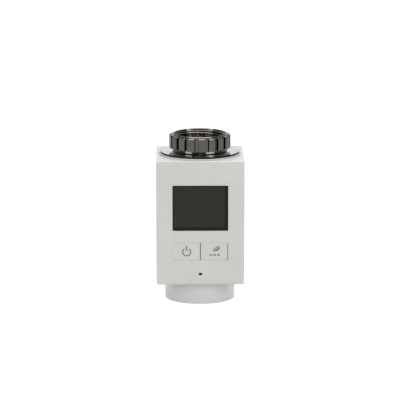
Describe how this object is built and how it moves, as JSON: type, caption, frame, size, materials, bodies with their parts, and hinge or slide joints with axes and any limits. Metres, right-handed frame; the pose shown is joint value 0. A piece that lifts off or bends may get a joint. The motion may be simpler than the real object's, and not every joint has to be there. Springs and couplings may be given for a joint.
{
  "type": "motorised actuator head",
  "caption": "Square white motorised radiator-valve head with a display window, flush keys, a round setting knob and a ribbed union nut.",
  "frame": {"origin": "under the centre of the knob's flat end, on the plane the part stands on", "axes": "+Z along the valve axis, up through the union nut; -Y out of the display; +X to the right of the display"},
  "size_m": [0.052, 0.052, 0.0998],
  "materials": {
    "white_plastic": "satin moulded white",
    "knob_plastic": "satin moulded white",
    "black_nickel": "polished black nickel plate",
    "steel": "plain steel",
    "spring_steel": "spring steel",
    "display_window": "smooth dark window",
    "lcd_glass": "dark display glass",
    "black_plastic": "fine texture",
    "grey_plastic": "fine texture",
    "acetal": "smooth natural acetal",
    "circuit_board": "solder mask",
    "cell_wrap": "printed-film wrap without text",
    "red_sleeve": "smooth sleeve",
    "black_sleeve": "smooth sleeve"
  },
  "bodies": {
    "housing": {"housing": "white_plastic", "bottom_plate": "white_plastic", "flange_plate": "black_nickel", "retaining_ring": "spring_steel", "coil_contact_left": "spring_steel", "coil_contact_right": "spring_steel", "plate_contact_left": "spring_steel", "plate_contact_right": "spring_steel", "radio_shield": "steel", "motor_can": "steel", "thrust_washer": "steel", "idler_axle_1": "steel", "idler_axle_2": "steel", "base_screw_1": "steel", "base_screw_2": "steel", "base_screw_3": "steel", "base_screw_4": "steel", "flange_screw_1": "steel", "flange_screw_2": "steel", "flange_screw_3": "steel", "gearbox_screw_1": "steel", "gearbox_screw_2": "steel", "gearbox_screw_3": "steel", "gearbox_screw_4": "steel", "display_lens": "display_window", "lcd_panel": "lcd_glass", "plunger_guide": "black_plastic", "lcd_frame": "black_plastic", "control_chip": "black_plastic", "status_light_guide": "black_plastic", "power_switch_case": "black_plastic", "eco_switch_case": "black_plastic", "gearbox_base": "black_plastic", "gearbox_cover": "black_plastic", "motor_end_cap": "black_plastic", "encoder_case": "black_plastic", "battery_tray": "grey_plastic", "main_board": "circuit_board", "encoder_board": "circuit_board", "battery_left": "cell_wrap", "battery_right": "cell_wrap", "motor_lead_red": "red_sleeve", "motor_lead_black": "black_sleeve"},
    "nut": {"union_nut": "black_nickel"},
    "plunger": {"plunger": "acetal"},
    "drive_gear": {"drive_gear": "acetal"},
    "idler_1": {"idler_gear_1": "acetal"},
    "idler_2": {"idler_gear_2": "acetal"},
    "motor_rotor": {"motor_pinion": "acetal"},
    "knob": {"knob": "knob_plastic", "knob_cap": "knob_plastic", "knob_clip": "spring_steel", "knob_gear": "acetal"},
    "encoder_rotor": {"encoder_gear": "acetal"},
    "battery_cover": {"battery_cover": "white_plastic"},
    "power_button": {"power_button": "white_plastic"},
    "eco_button": {"eco_button": "white_plastic"},
    "power_switch_stem": {"power_switch_stem": "grey_plastic"},
    "eco_switch_stem": {"eco_switch_stem": "grey_plastic"}
  },
  "joints": [
    {"name": "drive_gear_turn", "type": "hinge", "parent": "housing", "child": "drive_gear", "pos_m": [0, 0, 0.0795], "axis": [0, 0, 1], "range_deg": [0, 1080]},
    {"name": "plunger_travel", "type": "slide", "parent": "housing", "child": "plunger", "axis": [0, 0, 1], "range_m": [0, 0.0045]},
    {"name": "idler_2_turn", "type": "hinge", "parent": "housing", "child": "idler_2", "pos_m": [-0.01379, 0.01157, 0.078], "axis": [0, 0, 1], "range_deg": [-5400, 0]},
    {"name": "idler_1_turn", "type": "hinge", "parent": "housing", "child": "idler_1", "pos_m": [-0.01691, 0.00421, 0.074], "axis": [0, 0, 1], "range_deg": [0, 16200]},
    {"name": "motor_shaft_turn", "type": "hinge", "parent": "housing", "child": "motor_rotor", "pos_m": [-0.01491, -0.00354, 0.07], "axis": [0, 0, 1], "range_deg": [-48600, 0]},
    {"name": "union_nut_turn", "type": "hinge", "parent": "housing", "child": "nut", "pos_m": [0, 0, 0.0945], "axis": [0, 0, 1], "continuous": true},
    {"name": "knob_turn", "type": "hinge", "parent": "housing", "child": "knob", "pos_m": [0, 0, 0.0063], "axis": [0, 0, 1], "continuous": true},
    {"name": "encoder_turn", "type": "hinge", "parent": "housing", "child": "encoder_rotor", "pos_m": [0, -0.0096, 0.019], "axis": [0, 0, 1], "continuous": true},
    {"name": "battery_cover_slide", "type": "slide", "parent": "housing", "child": "battery_cover", "axis": [0, 1, 0], "range_m": [0, 0.03]},
    {"name": "power_button_press", "type": "slide", "parent": "housing", "child": "power_button", "axis": [0, 1, 0], "range_m": [0, 0.0006], "stiffness_N_per_m": 1500, "springref_m": -0.0002},
    {"name": "eco_button_press", "type": "slide", "parent": "housing", "child": "eco_button", "axis": [0, 1, 0], "range_m": [0, 0.0006], "stiffness_N_per_m": 1500, "springref_m": -0.0002},
    {"name": "power_switch_press", "type": "slide", "parent": "housing", "child": "power_switch_stem", "axis": [0, 1, 0], "range_m": [0, 0.0006]},
    {"name": "eco_switch_press", "type": "slide", "parent": "housing", "child": "eco_switch_stem", "axis": [0, 1, 0], "range_m": [0, 0.0006]}
  ],
  "couplings": [
    {"joint": "plunger_travel", "follows": "drive_gear_turn", "m_per_rad": 0.00023873},
    {"joint": "idler_2_turn", "follows": "drive_gear_turn", "ratio": -5},
    {"joint": "idler_1_turn", "follows": "drive_gear_turn", "ratio": 15},
    {"joint": "motor_shaft_turn", "follows": "drive_gear_turn", "ratio": -45},
    {"joint": "encoder_turn", "follows": "knob_turn", "ratio": -1.6667},
    {"joint": "power_switch_press", "follows": "power_button_press", "ratio": 1},
    {"joint": "eco_switch_press", "follows": "eco_button_press", "ratio": 1}
  ]
}
